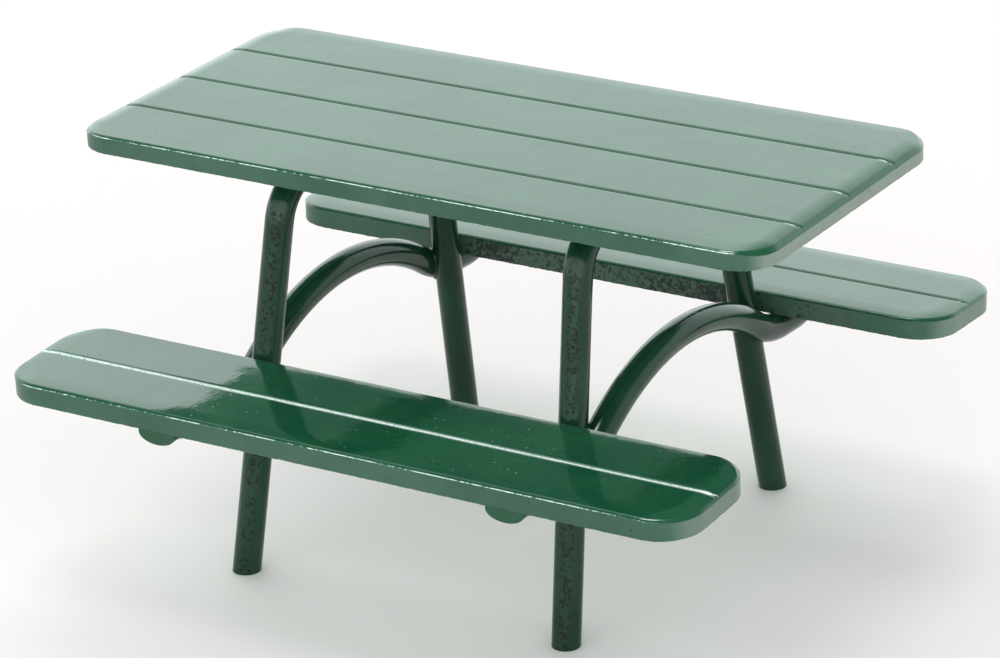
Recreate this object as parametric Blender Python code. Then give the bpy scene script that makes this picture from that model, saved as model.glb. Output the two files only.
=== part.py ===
"""Picnic table: a four-board top and two two-board seats on bent tube legs.

Frame: metres, +Z up, origin on the floor under the middle of the table.
X runs along the boards, Y across them; the table is symmetric about X = 0 and Y = 0.
Each end has one leg frame (an upside-down U of tube, splayed outwards) and one seat
bearer, a tube that arches over between the seats, notched and welded to the outer side
of the legs. Plates on the tubes carry the boards, which are screwed on from below.
"""

from math import cos, pi, radians, sin, sqrt, tan

import bmesh
import bpy
from mathutils import Matrix, Vector

# Clearance kept between touching pieces.
GAP = 0.0003

# Top.
TOP_HEIGHT = 0.750
TOP_LENGTH = 1.360
TOP_WIDTH = 0.642
TOP_THICKNESS = 0.035
TOP_CORNER_RADIUS = 0.073
TOP_BOARD_PITCH = 0.165
TOP_EDGE_DROPS = (0.0046, 0.0115)

# Seats. The height is at the middle of the seat's upper face, which falls outwards.
SEAT_HEIGHT = 0.388
SEAT_OFFSET = 0.456
SEAT_LENGTH = 1.352
SEAT_WIDTH = 0.2535
SEAT_THICKNESS = 0.040
SEAT_CORNER_RADIUS = 0.0766
SEAT_EDGE_DROPS = (0.005, 0.0075)
SEAT_FALL = radians(2.6)

# Boards. They are butted edge to edge, and a bevel on each upper edge makes the groove.
JOINT_BEVEL_WIDTH = 0.005
JOINT_BEVEL_DEPTH = 0.0015
EDGE_ROUND_WIDTH = 0.038
EDGE_ROUND_SHARES = (0.3, 0.6, 1.0)
UNDERSIDE_CHAMFER = 0.0015
CORNER_STEPS = 7

# Tubes.
TUBE_RADIUS = 0.0254
TUBE_WALL = 0.003
TUBE_SIDES = 16

# Leg frames: where the leg's centreline meets the floor, and how it leans.
FOOT_X = 0.3255
FOOT_Y = 0.367
LEG_SPLAY = radians(2.53)
LEG_RAKE = radians(10.86)
LEG_BEND_RADIUS = 0.080
LEG_BEND_STEPS = 8

# Seat bearers.
ARCH_X = 0.345
ARCH_PEAK = 0.436
ARCH_RADIUS = 0.486
ARCH_STEPS = 6
ARCH_FOOT_RADIUS = 0.164
ARCH_FOOT_STEPS = 5
PRESSED_HALF_WIDTH = 0.0365
PRESSED_HALF_UP = 0.0045
PRESSED_HALF_DOWN = 0.0195
PRESS_START = -0.045
PRESS_END = 0.050
PRESS_STEPS = 5
LIFT_START = 0.084
LIFT_END = 0.106
LIFT_STEPS = 3

# Plates between the tubes and the boards.
PLATE_THICKNESS = 0.005
TOP_PLATE_LENGTH = 0.570
TOP_PLATE_WIDTH = 0.090
SEAT_PLATE_LENGTH = 0.162
SEAT_PLATE_WIDTH = 0.110
PLATE_CORNER_RADIUS = 0.010

# Hexagon head wood screws, put in from below.
SCREW_SHANK_RADIUS = 0.004
SCREW_HEAD_RADIUS = 0.0075
SCREW_HEAD_HEIGHT = 0.0055
SCREW_DEPTH = 0.022
SCREW_POINT_LENGTH = 0.006
SCREW_POINT_RADIUS = 0.0012
SCREW_HOLE_RADIUS = 0.0048
SCREW_HOLE_DEPTH = 0.025
SCREW_SIDES = 8
TOP_SCREW_SIDE = 0.034
TOP_SCREW_ROWS = (0.045, 0.120, 0.205, 0.262)
SEAT_SCREW_SIDE = 0.045
SEAT_SCREW_ROWS = (0.034, 0.068)

# Plugs in the tube ends.
PLUG_FLANGE = 0.002
PLUG_DEPTH = 0.025
CAP_DEPTH = 0.015

# How far a cutter reaches past what it cuts.
CUTTER_MARGIN = 0.01

# Stretch of each leg that its bearer is cut clear of.
CLEARANCE_HEIGHTS = (0.20, 0.50)

SIDES = (("left", -1), ("right", 1))
SEATS = (("front", -1), ("rear", 1))


# ---------------------------------------------------------------- materials

def paint(name, colour, roughness, metallic=0.0):
    material = bpy.data.materials.new(name)
    material.use_nodes = True
    shader = material.node_tree.nodes["Principled BSDF"]
    shader.inputs["Base Color"].default_value = (*colour, 1.0)
    shader.inputs["Roughness"].default_value = roughness
    shader.inputs["Metallic"].default_value = metallic
    return material


def make_materials():
    return {
        "boards": paint("green_enamel_boards", (0.030, 0.120, 0.062), 0.16),
        "frame": paint("green_enamel_frame", (0.010, 0.045, 0.022), 0.20),
        "screws": paint("zinc_screws", (0.55, 0.56, 0.57), 0.38, 1.0),
        "plugs": paint("dark_plugs", (0.010, 0.022, 0.016), 0.45),
    }


# ---------------------------------------------------------------- mesh helpers

def new_object(name, bm, material=None):
    """Turn a bmesh into an object with its faces pointing outwards."""
    bmesh.ops.recalc_face_normals(bm, faces=bm.faces)
    mesh = bpy.data.meshes.new(name)
    bm.to_mesh(mesh)
    bm.free()
    obj = bpy.data.objects.new(name, mesh)
    bpy.context.scene.collection.objects.link(obj)
    if material:
        mesh.materials.append(material)
    return obj


def as_guide(obj):
    """Mark an object as a cutter or guide, which is no part of the table."""
    obj.hide_render = True
    obj.display_type = "WIRE"
    return obj


def add_boolean(obj, other, operation):
    modifier = obj.modifiers.new(operation.lower() + "_" + other.name, "BOOLEAN")
    modifier.operation = operation
    modifier.solver = "EXACT"
    modifier.object = other


def smooth(obj, angle=radians(35)):
    obj.data.shade_smooth()
    obj.data.set_sharp_from_angle(angle=angle)


def add_rings(bm, rings):
    """Add closed rings of points and join each one to the next."""
    loops = [[bm.verts.new(point) for point in ring] for ring in rings]
    for lower, upper in zip(loops, loops[1:]):
        for index in range(len(lower)):
            after = (index + 1) % len(lower)
            bm.faces.new((lower[index], lower[after], upper[after], upper[index]))
    return loops


def solid_of_rings(name, rings, material=None):
    """A closed solid through rings of points, capped at both ends."""
    bm = bmesh.new()
    loops = add_rings(bm, rings)
    bm.faces.new(loops[0])
    bm.faces.new(loops[-1])
    return new_object(name, bm, material)


def tube_of_rings(name, outer, inner, material):
    """An open-ended tube with an outer and an inner skin."""
    bm = bmesh.new()
    rings = outer + list(reversed(inner))
    add_rings(bm, rings + [rings[0]])
    bmesh.ops.remove_doubles(bm, verts=bm.verts, dist=1e-6)
    obj = new_object(name, bm, material)
    smooth(obj)
    return obj


def section_ring(centre, side, up, half_width, half_height, count=TUBE_SIDES):
    """An ellipse about centre, with side and up as its axes."""
    turns = [2 * pi * (step + 0.5) / count for step in range(count)]
    return [centre + side * (half_width * cos(t)) + up * (half_height * sin(t)) for t in turns]


def pressed_ring(centre, side, up, half_width, half_up, half_down):
    """A tube section pressed towards a D: flatter above its centre than below it."""
    power = 4 - 2 * half_up / half_down
    points = []
    for step in range(TUBE_SIDES):
        turn = 2 * pi * (step + 0.5) / TUBE_SIDES
        if sin(turn) > 0:
            rise = half_up * (1 - abs(cos(turn)) ** power) ** (1 / power)
        else:
            rise = half_down * sin(turn)
        points.append(centre + side * (half_width * cos(turn)) + up * rise)
    return points


def slide_to_height(ring, axis, height):
    """Move each point of a ring along axis until it lies at the given height."""
    return [point + axis * ((height - point.z) / axis.z) for point in ring]


def prism(name, outline, bottom, top, matrix, material=None):
    """A flat outline of (x, y) points, extruded from bottom to top and placed by matrix."""
    rings = [[matrix @ Vector((x, y, z)) for x, y in outline] for z in (bottom, top)]
    return solid_of_rings(name, rings, material)


def rounded_rectangle(half_x, half_y, radius, steps=CORNER_STEPS):
    points = []
    corners = ((1, 1, 0), (-1, 1, 1), (-1, -1, 2), (1, -1, 3))
    for sign_x, sign_y, quarter in corners:
        for step in range(steps + 1):
            turn = pi / 2 * (quarter + step / steps)
            x = sign_x * (half_x - radius) + radius * cos(turn)
            y = sign_y * (half_y - radius) + radius * sin(turn)
            points.append((x, y))
    return points


# ---------------------------------------------------------------- boards

def panel_guide(name, length, width, thickness, corner, drops, matrix):
    """The whole slab that a set of boards is cut from, with its upper face at local z = 0.

    The upper face falls gently over the last stretch before its edge, then meets the
    upright side at a crisp line. drops holds how far it falls at the long sides and at
    the ends; round the corners it changes smoothly from one to the other.
    """
    edge = rounded_rectangle(length / 2, width / 2, corner)
    inner = rounded_rectangle(length / 2 - CUTTER_MARGIN, width / 2 - CUTTER_MARGIN,
                              corner - CUTTER_MARGIN)
    falls = []
    for (edge_x, _), (inner_x, _) in zip(edge, inner):
        share = ease(abs(edge_x - inner_x) / CUTTER_MARGIN, 0, 1)
        falls.append(drops[0] + (drops[1] - drops[0]) * share)
    profile = [(UNDERSIDE_CHAMFER, -thickness, 0), (0, UNDERSIDE_CHAMFER - thickness, 0), (0, 0, 1)]
    profile += [(share * EDGE_ROUND_WIDTH, 0, (1 - share) ** 2) for share in EDGE_ROUND_SHARES]
    rings = []
    for inset, z, depth in profile:
        outline = rounded_rectangle(length / 2 - inset, width / 2 - inset, corner - inset)
        rings.append([matrix @ Vector((x, y, z - depth * fall))
                      for (x, y), fall in zip(outline, falls)])
    return as_guide(solid_of_rings(name, rings))


def blank_side(y, outward, bottom, top, joint):
    """One upright side of a board blank, as (y, z) points from bottom to top."""
    if not joint:
        return [(y, bottom), (y, top)]
    slope = JOINT_BEVEL_WIDTH / JOINT_BEVEL_DEPTH
    reach = (top + JOINT_BEVEL_DEPTH) * slope
    return [(y, bottom), (y, -JOINT_BEVEL_DEPTH), (y - outward * reach, top)]


def cut_boards(names, joints, panel, holes, size, matrix, material):
    """Cut the panel, whose size is (length, width, thickness), into boards at the joints."""
    length, width, thickness = size
    half_length = length / 2 + CUTTER_MARGIN
    outer = width / 2 + CUTTER_MARGIN
    bottom = -thickness - CUTTER_MARGIN
    lows = [(-outer, False)] + [(y + GAP / 2, True) for y in joints]
    highs = [(y - GAP / 2, True) for y in joints] + [(outer, False)]
    for name, (low, low_joint), (high, high_joint) in zip(names, lows, highs):
        profile = blank_side(low, -1, bottom, CUTTER_MARGIN, low_joint)
        profile += reversed(blank_side(high, 1, bottom, CUTTER_MARGIN, high_joint))
        rings = [[matrix @ Vector((x, y, z)) for y, z in profile] for x in (-half_length, half_length)]
        board = solid_of_rings(name, rings, material)
        add_boolean(board, panel, "INTERSECT")
        for hole in holes:
            add_boolean(board, hole, "DIFFERENCE")


def screw_holes(name, places, thickness, matrix):
    """One cutter with a hole through the plate and into the board at each (x, y)."""
    bm = bmesh.new()
    low = -thickness - PLATE_THICKNESS - CUTTER_MARGIN
    high = SCREW_HOLE_DEPTH - thickness
    for x, y in places:
        rings = []
        for z in (low, high):
            centre = Vector((x, y, z))
            ring = section_ring(centre, Vector((1, 0, 0)), Vector((0, 1, 0)),
                                SCREW_HOLE_RADIUS, SCREW_HOLE_RADIUS, SCREW_SIDES)
            rings.append([matrix @ point for point in ring])
        loops = add_rings(bm, rings)
        bm.faces.new(loops[0])
        bm.faces.new(loops[1])
    return as_guide(new_object(name, bm))


def screws(prefix, places, thickness, matrix, material):
    """Screws whose heads bear on the plate's underside."""
    seat = -thickness - PLATE_THICKNESS - 2 * GAP
    bearing = seat - GAP
    tip = SCREW_DEPTH - thickness
    flat, across = Vector((1, 0, 0)), Vector((0, 1, 0))
    for number, (x, y) in enumerate(places, 1):
        def ring(z, radius, count=SCREW_SIDES):
            local = section_ring(Vector((x, y, z)), flat, across, radius, radius, count)
            return [matrix @ point for point in local]

        head = solid_of_rings(f"{prefix}_screw_{number}",
                              [ring(bearing - SCREW_HEAD_HEIGHT, SCREW_HEAD_RADIUS, 6),
                               ring(bearing, SCREW_HEAD_RADIUS, 6)], material)
        shank = as_guide(solid_of_rings(f"{prefix}_shank_{number}",
                                        [ring(bearing - SCREW_HEAD_HEIGHT / 2, SCREW_SHANK_RADIUS),
                                         ring(tip - SCREW_POINT_LENGTH, SCREW_SHANK_RADIUS),
                                         ring(tip, SCREW_POINT_RADIUS)]))
        add_boolean(head, shank, "UNION")


def plate(name, centre_x, length, width, thickness, holes, matrix, material):
    """A flat plate just under the boards, drilled for the screws."""
    top = -thickness - GAP
    outline = rounded_rectangle(width / 2, length / 2, PLATE_CORNER_RADIUS, 2)
    outline = [(centre_x + x, y) for x, y in outline]
    piece = prism(name, outline, top - PLATE_THICKNESS, top, matrix, material)
    add_boolean(piece, holes, "DIFFERENCE")


def make_top(materials, run_x):
    matrix = Matrix.Translation((0, 0, TOP_HEIGHT))
    panel = panel_guide("top_panel_guide", TOP_LENGTH, TOP_WIDTH, TOP_THICKNESS,
                        TOP_CORNER_RADIUS, TOP_EDGE_DROPS, matrix)
    for side, sign in SIDES:
        places = []
        for row, y in enumerate(TOP_SCREW_ROWS):
            stagger = TOP_SCREW_SIDE * (-1) ** row
            places += [(sign * run_x + stagger, y), (sign * run_x - stagger, -y)]
        screws(f"{side}_top", places, TOP_THICKNESS, matrix, materials["screws"])
        holes = screw_holes(f"{side}_top_holes", places, TOP_THICKNESS, matrix)
        plate(f"{side}_top_plate", sign * run_x, TOP_PLATE_LENGTH, TOP_PLATE_WIDTH,
              TOP_THICKNESS, holes, matrix, materials["frame"])
    names = [f"top_board_{number}" for number in (1, 2, 3, 4)]
    joints = (-TOP_BOARD_PITCH, 0, TOP_BOARD_PITCH)
    holes = [bpy.data.objects[f"{side}_top_holes"] for side, _ in SIDES]
    size = (TOP_LENGTH, TOP_WIDTH, TOP_THICKNESS)
    cut_boards(names, joints, panel, holes, size, matrix, materials["boards"])


def seat_matrix(sign):
    """From a seat's own frame, with its upper face at z = 0, to the table's."""
    place = Matrix.Translation((0, sign * SEAT_OFFSET, SEAT_HEIGHT))
    return place @ Matrix.Rotation(-sign * SEAT_FALL, 4, "X")


def make_seat(seat, sign, materials):
    matrix = seat_matrix(sign)
    panel = panel_guide(f"{seat}_seat_panel_guide", SEAT_LENGTH, SEAT_WIDTH, SEAT_THICKNESS,
                        SEAT_CORNER_RADIUS, SEAT_EDGE_DROPS, matrix)
    places = {}
    for side, end in SIDES:
        places[side] = []
        for row, y in enumerate(SEAT_SCREW_ROWS):
            stagger = SEAT_SCREW_SIDE * (-1) ** row
            places[side] += [(end * ARCH_X + stagger, y), (end * ARCH_X - stagger, -y)]
        screws(f"{seat}_seat_{side}", places[side], SEAT_THICKNESS, matrix, materials["screws"])
    holes = screw_holes(f"{seat}_seat_holes", places["left"] + places["right"],
                        SEAT_THICKNESS, matrix)
    for side, end in SIDES:
        plate(f"{seat}_seat_{side}_plate", end * ARCH_X, SEAT_PLATE_LENGTH, SEAT_PLATE_WIDTH,
              SEAT_THICKNESS, holes, matrix, materials["frame"])
    names = [f"{seat}_seat_{place}_board" for place in ("inner", "outer")[::sign]]
    size = (SEAT_LENGTH, SEAT_WIDTH, SEAT_THICKNESS)
    cut_boards(names, (0,), panel, [holes], size, matrix, materials["boards"])


# ---------------------------------------------------------------- leg frames

def leg_plane(sign):
    """The leaning plane of one leg frame: a point on the floor, its up and its normal."""
    origin = Vector((sign * FOOT_X, 0, 0))
    up = Vector((-sign * sin(LEG_SPLAY), 0, cos(LEG_SPLAY)))
    normal = Vector((cos(LEG_SPLAY), 0, sign * sin(LEG_SPLAY)))
    return origin, up, normal


def run_height():
    """Height of the centreline of the frame's level run, under the top plate."""
    return TOP_HEIGHT - TOP_THICKNESS - PLATE_THICKNESS - 2 * GAP - TUBE_RADIUS


def run_offset():
    """Distance of the level run from the middle of the table, along X."""
    return FOOT_X - run_height() * tan(LEG_SPLAY)


def leg_stations():
    """Centreline of a leg frame as (y, s, angle): s is measured up its leaning plane.

    The angle is the direction of travel, from straight up (0) to level (pi / 2).
    """
    rise = run_height() / cos(LEG_SPLAY)
    corner_y = FOOT_Y - rise * tan(LEG_RAKE)
    turn = pi / 2 - LEG_RAKE
    setback = LEG_BEND_RADIUS * tan(turn / 2)
    centre_y = corner_y - setback
    centre_s = rise - LEG_BEND_RADIUS
    half = [(FOOT_Y, 0.0, LEG_RAKE)]
    for step in range(LEG_BEND_STEPS + 1):
        angle = LEG_RAKE + turn * step / LEG_BEND_STEPS
        half.append((centre_y + LEG_BEND_RADIUS * cos(angle),
                     centre_s + LEG_BEND_RADIUS * sin(angle), angle))
    return half + [(-y, s, pi - angle) for y, s, angle in reversed(half)]


def leg_axis(sign, seat_sign):
    """Foot point and upward direction of one leg's centreline."""
    origin, up, _ = leg_plane(sign)
    foot = origin + Vector((0, seat_sign * FOOT_Y, 0))
    axis = up * cos(LEG_RAKE) + Vector((0, -seat_sign * sin(LEG_RAKE), 0))
    return foot, axis.normalized()


def leg_rings(sign, radius):
    origin, up, normal = leg_plane(sign)
    rings = []
    for y, s, angle in leg_stations():
        centre = origin + Vector((0, y, 0)) + up * s
        travel = Vector((0, -sin(angle), 0)) + up * cos(angle)
        rings.append(section_ring(centre, normal, travel.cross(normal), radius, radius))
    for index, seat_sign in ((0, 1), (-1, -1)):
        axis = leg_axis(sign, seat_sign)[1]
        rings[index] = slide_to_height(rings[index], axis, PLUG_FLANGE + GAP)
    return rings


def make_leg_frame(side, sign, materials):
    tube_of_rings(f"{side}_leg_frame", leg_rings(sign, TUBE_RADIUS),
                  leg_rings(sign, TUBE_RADIUS - TUBE_WALL), materials["frame"])
    for seat, seat_sign in SEATS:
        foot, axis = leg_axis(sign, seat_sign)
        normal = leg_plane(sign)[2]
        spigot = TUBE_RADIUS - TUBE_WALL - GAP / cos(pi / TUBE_SIDES)
        rings = []
        levels = ((TUBE_RADIUS, 0), (TUBE_RADIUS, PLUG_FLANGE), (spigot, PLUG_FLANGE),
                  (spigot, PLUG_DEPTH))
        for radius, height in levels:
            ring = section_ring(foot, normal, axis.cross(normal), radius, radius)
            rings.append(slide_to_height(ring, axis, height))
        plug = solid_of_rings(f"{side}_{seat}_foot_plug", rings, materials["plugs"])
        smooth(plug)


def leg_clearance(name, sign, seat_sign):
    """A rod round one leg, a gap larger than the tube, where the bearer crosses it."""
    foot, axis = leg_axis(sign, seat_sign)
    normal = leg_plane(sign)[2]
    radius = TUBE_RADIUS + GAP / cos(pi / TUBE_SIDES)
    rings = []
    for height in CLEARANCE_HEIGHTS:
        centre = foot + axis * (height / axis.z)
        side = Vector((0, -seat_sign * sin(LEG_RAKE), 0)) + leg_plane(sign)[1] * cos(LEG_RAKE)
        rings.append(section_ring(centre, normal, side.cross(normal), radius, radius))
    return as_guide(solid_of_rings(name, rings))


# ---------------------------------------------------------------- seat bearers

def ease(value, start, end):
    """0 before start, 1 after end and a smooth step between them."""
    share = min(1.0, max(0.0, (value - start) / (end - start)))
    return share * share * (3 - 2 * share)


def evenly(start, end, steps):
    return [start + (end - start) * step / steps for step in range(steps + 1)]


def arch_half():
    """Half of a bearer from its peak outwards, as (y, z, slope, section).

    A section is (half_width, half_up, half_down). The middle arc and the foot arc, which
    curves the other way, meet the straight end that lies against the seat plate. The end
    is pressed to a D under the outer board, keeping its upper side against the plate, and
    past the plate it lifts to the board.
    """
    down = SEAT_THICKNESS + PLATE_THICKNESS + 2 * GAP + TUBE_RADIUS
    along = Vector((cos(SEAT_FALL), -sin(SEAT_FALL)))
    upward = Vector((sin(SEAT_FALL), cos(SEAT_FALL)))
    start = Vector((SEAT_OFFSET, SEAT_HEIGHT)) - upward * down
    centre = Vector((0, ARCH_PEAK - ARCH_RADIUS))
    reach = ARCH_RADIUS + ARCH_FOOT_RADIUS
    rise = ARCH_FOOT_RADIUS - (centre - start).dot(upward)
    foot_centre = centre + upward * rise + along * sqrt(reach ** 2 - rise ** 2)
    slope = (foot_centre - centre).angle(Vector((0, 1)))
    round_section = Vector((TUBE_RADIUS, TUBE_RADIUS, TUBE_RADIUS))
    pressed_section = Vector((PRESSED_HALF_WIDTH, PRESSED_HALF_UP, PRESSED_HALF_DOWN))
    stations = []
    for step in range(ARCH_STEPS + 1):
        turn = slope * step / ARCH_STEPS
        point = centre + Vector((sin(turn), cos(turn))) * ARCH_RADIUS
        stations.append((point.x, point.y, turn, round_section))
    for step in range(1, ARCH_FOOT_STEPS + 1):
        turn = slope + (SEAT_FALL - slope) * step / ARCH_FOOT_STEPS
        point = foot_centre - Vector((sin(turn), cos(turn))) * ARCH_FOOT_RADIUS
        stations.append((point.x, point.y, turn, round_section))
    places = evenly(PRESS_START, PRESS_END, PRESS_STEPS) + evenly(LIFT_START, LIFT_END, LIFT_STEPS)
    for place in places + [SEAT_WIDTH / 2 - PLUG_FLANGE - GAP]:
        section = round_section.lerp(pressed_section, ease(place, PRESS_START, PRESS_END))
        lift = (PLATE_THICKNESS + GAP) * ease(place, LIFT_START, LIFT_END)
        point = start + along * place + upward * (TUBE_RADIUS - section[1] + lift)
        stations.append((point.x, point.y, SEAT_FALL, section))
    return stations


def arch_rings(sign, inset):
    """Rings along a whole bearer, from its front end to its rear end."""
    half = arch_half()
    whole = [(-y, z, -turn, section) for y, z, turn, section in reversed(half[1:])] + half
    side = Vector((1, 0, 0))
    rings = []
    for y, z, turn, section in whole:
        upward = Vector((0, sin(turn), cos(turn)))
        centre = Vector((sign * ARCH_X, y, z))
        rings.append(pressed_ring(centre, side, upward, *(half - inset for half in section)))
    return rings


def make_bearer(side, sign, materials):
    bearer = tube_of_rings(f"{side}_seat_bearer", arch_rings(sign, 0),
                           arch_rings(sign, TUBE_WALL), materials["frame"])
    for seat, seat_sign in SEATS:
        rod = leg_clearance(f"{side}_{seat}_leg_clearance", sign, seat_sign)
        add_boolean(bearer, rod, "DIFFERENCE")
        make_end_cap(f"{side}_{seat}_bearer_cap", sign, seat_sign, materials["plugs"])


def make_end_cap(name, sign, seat_sign, material):
    """The D-shaped plug in a bearer's pressed end, its face flush with the seat's edge."""
    matrix = seat_matrix(seat_sign)
    drop = SEAT_THICKNESS + GAP + PRESSED_HALF_UP
    face = SEAT_WIDTH / 2
    inset = TUBE_WALL + GAP
    rings = []
    for place, shrink in ((face, 0), (face - PLUG_FLANGE, 0), (face - PLUG_FLANGE, inset),
                          (face - PLUG_FLANGE - CAP_DEPTH, inset)):
        centre = Vector((sign * ARCH_X, seat_sign * place, -drop))
        ring = pressed_ring(centre, Vector((1, 0, 0)), Vector((0, 0, 1)), PRESSED_HALF_WIDTH - shrink,
                            PRESSED_HALF_UP - shrink, PRESSED_HALF_DOWN - shrink)
        rings.append([matrix @ point for point in ring])
    smooth(solid_of_rings(name, rings, material))


# ---------------------------------------------------------------- the table

def main():
    for obj in list(bpy.data.objects):
        bpy.data.objects.remove(obj, do_unlink=True)
    materials = make_materials()
    make_top(materials, run_offset())
    for seat, sign in SEATS:
        make_seat(seat, sign, materials)
    for side, sign in SIDES:
        make_leg_frame(side, sign, materials)
        make_bearer(side, sign, materials)


main()
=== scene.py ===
from math import cos, pi, radians, sin, sqrt, tan

import bmesh
import bpy
from mathutils import Matrix, Vector, noise


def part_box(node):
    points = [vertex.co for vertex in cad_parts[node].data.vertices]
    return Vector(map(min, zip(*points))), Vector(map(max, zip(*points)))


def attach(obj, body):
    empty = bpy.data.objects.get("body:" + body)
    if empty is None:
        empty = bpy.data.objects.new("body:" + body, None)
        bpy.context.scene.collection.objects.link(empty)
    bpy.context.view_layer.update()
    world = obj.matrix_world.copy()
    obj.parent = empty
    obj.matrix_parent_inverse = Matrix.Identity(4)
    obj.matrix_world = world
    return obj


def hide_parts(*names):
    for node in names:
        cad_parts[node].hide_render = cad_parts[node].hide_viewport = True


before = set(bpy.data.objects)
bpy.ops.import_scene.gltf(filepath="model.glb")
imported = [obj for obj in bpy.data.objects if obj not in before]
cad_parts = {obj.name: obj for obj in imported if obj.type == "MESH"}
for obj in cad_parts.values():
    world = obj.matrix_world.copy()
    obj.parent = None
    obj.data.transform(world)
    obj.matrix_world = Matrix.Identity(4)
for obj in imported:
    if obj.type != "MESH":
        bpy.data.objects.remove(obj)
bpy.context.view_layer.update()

SIDES = (("left", -1), ("right", 1))
SEATS = (("front", -1), ("rear", 1))

# ------------------------------------------------------------ sizes read from the frame

top_low, top_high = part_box("top_board_1")
TOP_LENGTH = top_high.x - top_low.x
TOP_WIDTH = -2 * top_low.y
TOP_HEIGHT = top_high.z
TOP_THICKNESS = top_high.z - top_low.z
TOP_JOINTS = [(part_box(f"top_board_{n}")[1].y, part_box(f"top_board_{n + 1}")[0].y)
              for n in (1, 2, 3)]

outer_low, outer_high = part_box("rear_seat_outer_board")
SEAT_LENGTH = outer_high.x - outer_low.x

# ------------------------------------------------------------ sizes shared with the design

TOP_CORNER = 0.073
TOP_DROPS = (0.0046, 0.0115)
SEAT_HEIGHT = 0.388
SEAT_OFFSET = 0.456
SEAT_WIDTH = 0.2535
SEAT_THICKNESS = 0.040
SEAT_CORNER = 0.0766
SEAT_DROPS = (0.005, 0.0075)
SEAT_FALL = radians(2.6)
GAP = 0.0003

TUBE_RADIUS = 0.0254
TUBE_WALL = 0.003
FOOT_X = 0.3255
FOOT_Y = 0.367
LEG_SPLAY = radians(2.53)
LEG_RAKE = radians(10.86)
LEG_BEND_RADIUS = 0.080
PLATE_THICKNESS = 0.005
RUN_HEIGHT = TOP_HEIGHT - TOP_THICKNESS - PLATE_THICKNESS - 2 * GAP - TUBE_RADIUS

ARCH_X = 0.345
ARCH_PEAK = 0.436
ARCH_RADIUS = 0.486
ARCH_FOOT_RADIUS = 0.164
PRESSED_HALF_WIDTH = 0.0365
PRESSED_HALF_UP = 0.0045
PRESSED_HALF_DOWN = 0.0195
PRESS_START, PRESS_END = -0.045, 0.050
LIFT_START, LIFT_END = 0.084, 0.106
PLUG_FLANGE = 0.002
CAP_FILL = 0.0019

# ------------------------------------------------------------ finish of the boards' edges

# Pairs ending in S hold a value for the long sides and one for the ends.
SOFT_WIDTH = 0.040
SOFT_SHARES = (0.35, 0.62)
ROUND_POWER = 2.2
ROUND_SLOPES = (1.15, 0.85)
LOWER_CHAMFER = 0.0016
BEAD = 0.00055
CORNER_STEPS = 30
RUN_STEP = 0.004

# Width and depth of the rounding at each side of a joint, how many cuts shape it, how much
# of it the underside has, and the distances from the slab's edge over which it fades in.
FINE_LIP = (0.0085, 0.0028)
BRIGHT_LIP = (0.0085, 0.0034)
LIP_CUTS = 7
LOWER_LIP_SHARE = 0.3
GROOVE_FADE = (0.001, 0.020)

# The painted highlight in a joint, a near-white line: the shares of the rounding where it
# begins and is full, at the left and at the right, the places between which it changes, and
# its own fade. A fainter painted highlight line lies opposite, at the right.
BRIGHT_LINE = ((0.46, 0.72), (0.68, 0.88))
BRIGHT_CHANGE = (-0.2, 0.5)
BRIGHT_FADE = (0.0005, 0.007)
FAINT_LINE = (0.1, 0.2)
FAINT_LINE_STRENGTH = 0.5

# Where a board set's border changes from its long sides' profile to its ends', by how
# squarely it faces the end, and how far apart in the noise two levels a metre apart are.
END_FACING = (0.3, 0.97)
WOBBLE_STEP = 40

# Painted highlights on the crests and painted shade lie on the edge that faces the front.
# The painted shade starts at one place along the rear seat, and below the crest it ends at
# another, measured from the right end.
FRONT_FACING = (0.9, 0.99)
SHADE_START = (-0.38, -0.36)
SHADE_END = (0.16, 0.17)
SHADE_MOTTLE = 0.58
# Painted sheen on the boards' ends: where it begins and is full towards the end, and its strength
# on the top and on the seats.
END_SHEEN_REACH = (0.55, 0.98)
TOP_END_SHEEN = 0.9
SEAT_END_SHEEN = 0.5
TOP_SEED = 3.0
SEAT_SEED = 7.0


# ------------------------------------------------------------ node helpers

def feed(tree, value, socket):
    """Link a (node, output) pair to a socket, or set the socket to a plain value."""
    if isinstance(value, tuple) and isinstance(value[0], bpy.types.Node):
        tree.links.new(value[0].outputs[value[1]], socket)
    else:
        socket.default_value = value


def add_node(tree, kind, settings=None, **inputs):
    """Add a shader node and feed its inputs, given by name, or by number as _0, _1."""
    node = tree.nodes.new(kind)
    for name, value in (settings or {}).items():
        setattr(node, name, value)
    for name, value in inputs.items():
        key = int(name[1:]) if name[0] == "_" and name[1:].isdigit() else name.replace("_", " ")
        feed(tree, value, node.inputs[key])
    return node


def calc(tree, operation, first, second=0.0, clamp=False):
    node = add_node(tree, "ShaderNodeMath", {"operation": operation, "use_clamp": clamp},
                    _0=first, _1=second)
    return (node, 0)


def ramp(tree, source, low, high, start=0.0, end=1.0):
    """Map source from low..high to start..end, smoothly and clamped."""
    node = add_node(tree, "ShaderNodeMapRange", {"interpolation_type": "SMOOTHSTEP"},
                    Value=source, From_Min=low, From_Max=high, To_Min=start, To_Max=end)
    return (node, 0)


def mix_colour(tree, factor, first, second):
    node = tree.nodes.new("ShaderNodeMix")
    node.data_type = "RGBA"
    sockets = {socket.name: socket for socket in node.inputs if socket.enabled}
    for name, value in (("Factor", factor), ("A", first), ("B", second)):
        feed(tree, value, sockets[name])
    output = [index for index, socket in enumerate(node.outputs) if socket.enabled][0]
    return (node, output)


def noise_field(tree, coordinates, scale, detail=2.0, roughness=0.5, distortion=0.0):
    node = add_node(tree, "ShaderNodeTexNoise", Vector=coordinates, Scale=scale,
                    Detail=detail, Roughness=roughness, Distortion=distortion)
    return (node, 0)


def new_material(name):
    material = bpy.data.materials.new(name)
    material.use_nodes = True
    tree = material.node_tree
    return material, tree, tree.nodes["Principled BSDF"]


def object_place(tree):
    """Position in the object's own frame, which is the table's."""
    return (add_node(tree, "ShaderNodeTexCoord"), 3)


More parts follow.
